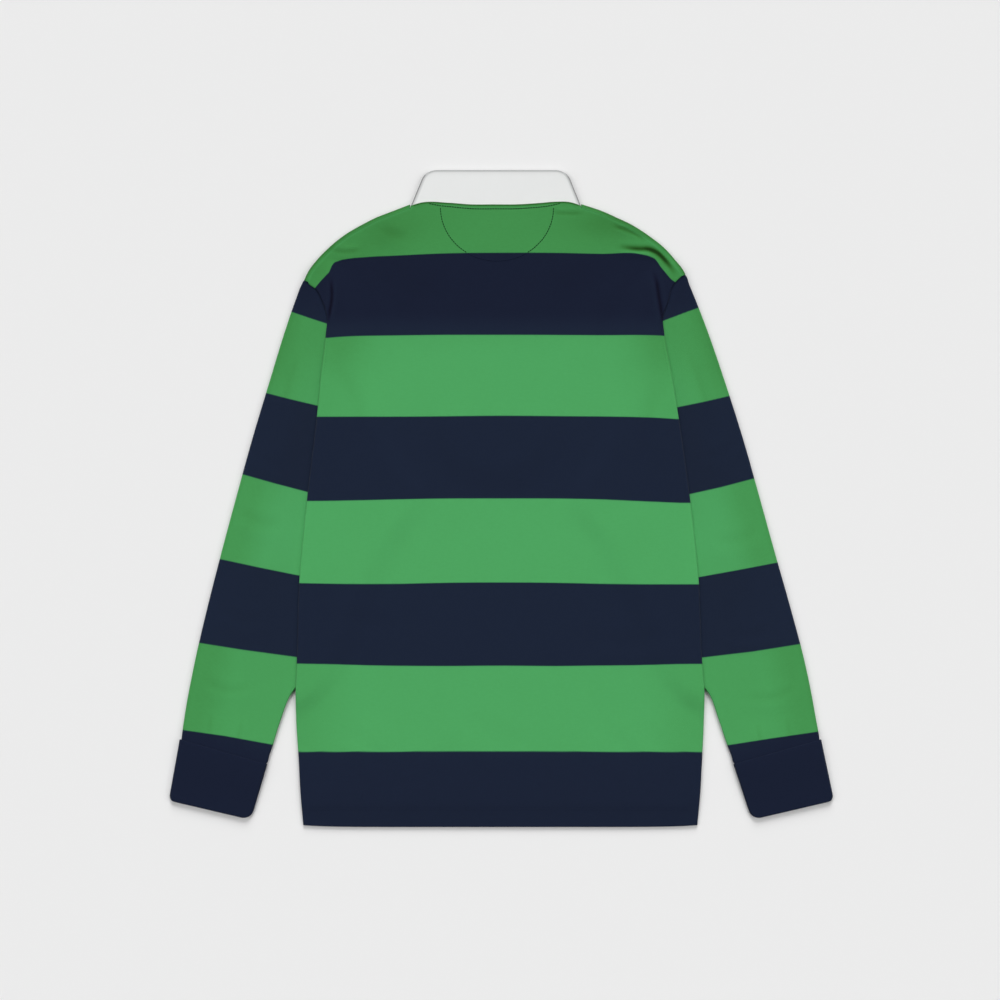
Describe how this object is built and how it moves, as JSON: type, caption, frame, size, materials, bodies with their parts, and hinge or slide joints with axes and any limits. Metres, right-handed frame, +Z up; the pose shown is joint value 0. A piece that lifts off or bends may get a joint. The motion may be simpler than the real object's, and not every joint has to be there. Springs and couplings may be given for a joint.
{
  "type": "rugby shirt",
  "caption": "Long-sleeved rugby shirt laid flat with its back up, in broad green and navy hoops, with a white standing collar, a buttoned placket and plain navy cuffs.",
  "frame": {"origin": "centre of the shirt's outline as it lies, on the plane of the surface that it lies on", "axes": "+X from the wearer's left sleeve to the right one, +Y from the hem to the collar, +Z up from the front panel to the back panel"},
  "size_m": [0.7668, 0.7628, 0.0074],
  "materials": {
    "striped_jersey": "heavy cotton jersey, knitted in broad green and navy stripes",
    "navy_jersey": "heavy cotton jersey, plain navy",
    "white_twill": "white cotton twill, matte",
    "rubber_button": "off-white moulded rubber, satin"
  },
  "bodies": {
    "root": {"back_panel": "striped_jersey", "front_panel": "striped_jersey", "sleeve_left": "striped_jersey", "sleeve_right": "striped_jersey", "cuff_left": "navy_jersey", "cuff_right": "navy_jersey", "collar": "white_twill", "placket_overlap": "white_twill", "placket_underlap": "white_twill", "half_moon_patch": "striped_jersey", "button_1": "rubber_button", "button_2": "rubber_button", "button_3": "rubber_button"}
  },
  "joints": []
}
